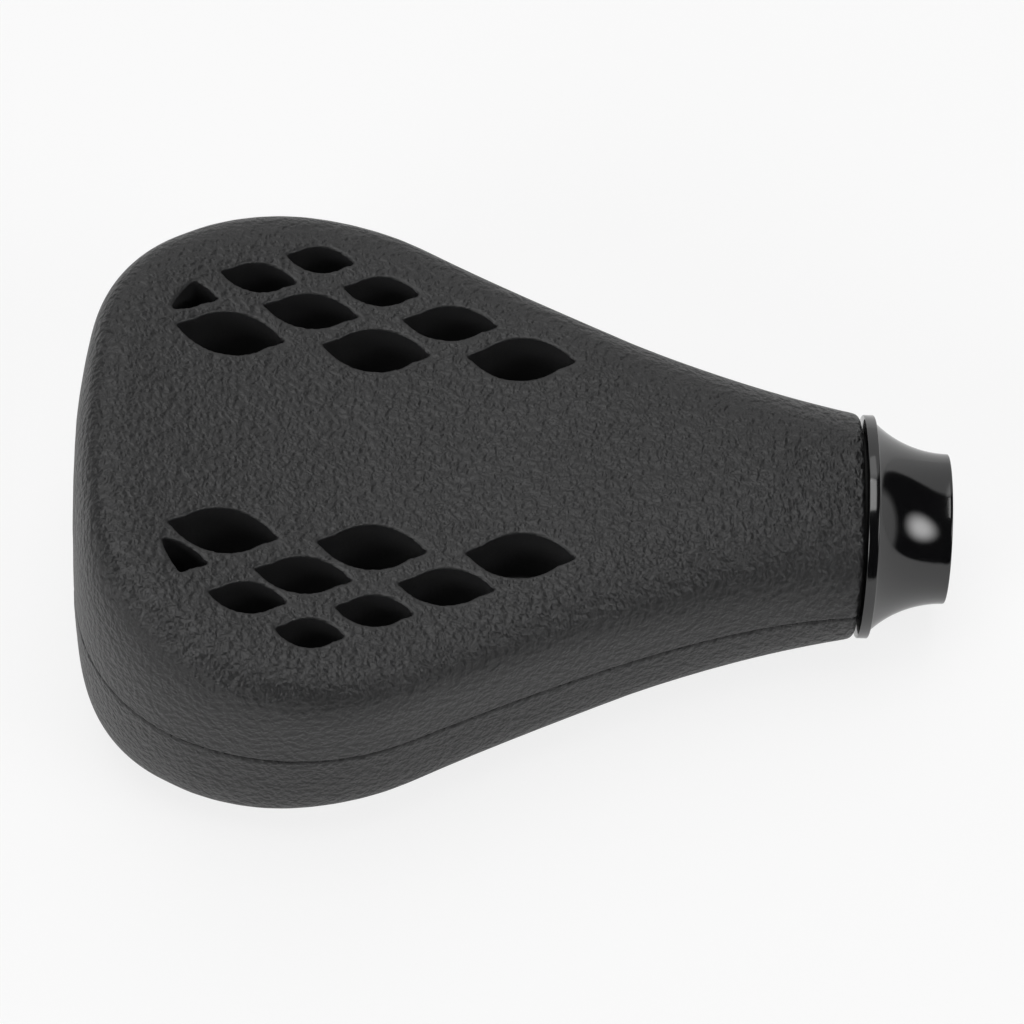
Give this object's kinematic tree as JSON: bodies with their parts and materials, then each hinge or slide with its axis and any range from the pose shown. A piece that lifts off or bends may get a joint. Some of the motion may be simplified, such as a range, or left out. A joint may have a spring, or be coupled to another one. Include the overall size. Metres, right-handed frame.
{
  "type": "fishing reel handle knob",
  "caption": "Paddle-shaped rubber handle knob with leaf-shaped pockets in both faces, a flared metal collar and ball bearings for a slim spindle.",
  "frame": {"origin": "centre of the front bearing's bore", "axes": "+X along the spindle axis, out of the collar towards the handle; +Z out of the upper face"},
  "size_m": [0.0464, 0.0314, 0.0174],
  "materials": {
    "shell_rubber": "fine leather grain, matte",
    "sleeve_nylon": "moulded, matte",
    "collar_black": "turned and black anodised, glossy",
    "gasket_rubber": "smooth, matte",
    "cap_plastic": "moulded, satin",
    "ring_steel": "ground",
    "ball_steel": "polished",
    "cage_steel": "pressed",
    "shield_steel": "pressed"
  },
  "bodies": {
    "knob": {"top_shell": "shell_rubber", "bottom_shell": "shell_rubber", "core_sleeve": "sleeve_nylon", "collar": "collar_black", "neck_gasket": "gasket_rubber", "end_cap": "cap_plastic", "cap_seal": "gasket_rubber", "front_outer_ring": "ring_steel", "front_outboard_shield": "shield_steel", "front_inboard_shield": "shield_steel", "rear_outer_ring": "ring_steel", "rear_outboard_shield": "shield_steel", "rear_inboard_shield": "shield_steel"},
    "front_inner": {"front_inner_ring": "ring_steel"},
    "front_ball_set": {"front_balls": "ball_steel", "front_cage": "cage_steel"},
    "rear_inner": {"rear_inner_ring": "ring_steel"},
    "rear_ball_set": {"rear_balls": "ball_steel", "rear_cage": "cage_steel"}
  },
  "joints": [
    {"name": "front_spin", "type": "hinge", "parent": "knob", "child": "front_inner", "pos_m": [0, 0, 0], "axis": [1, 0, 0], "continuous": true},
    {"name": "front_ball_orbit", "type": "hinge", "parent": "knob", "child": "front_ball_set", "pos_m": [0, 0, 0], "axis": [1, 0, 0], "continuous": true},
    {"name": "rear_spin", "type": "hinge", "parent": "knob", "child": "rear_inner", "pos_m": [-0.0155, 0, 0], "axis": [1, 0, 0], "continuous": true},
    {"name": "rear_ball_orbit", "type": "hinge", "parent": "knob", "child": "rear_ball_set", "pos_m": [-0.0155, 0, 0], "axis": [1, 0, 0], "continuous": true}
  ],
  "couplings": [
    {"joint": "front_ball_orbit", "follows": "front_spin", "ratio": 0.418},
    {"joint": "rear_ball_orbit", "follows": "rear_spin", "ratio": 0.418}
  ]
}
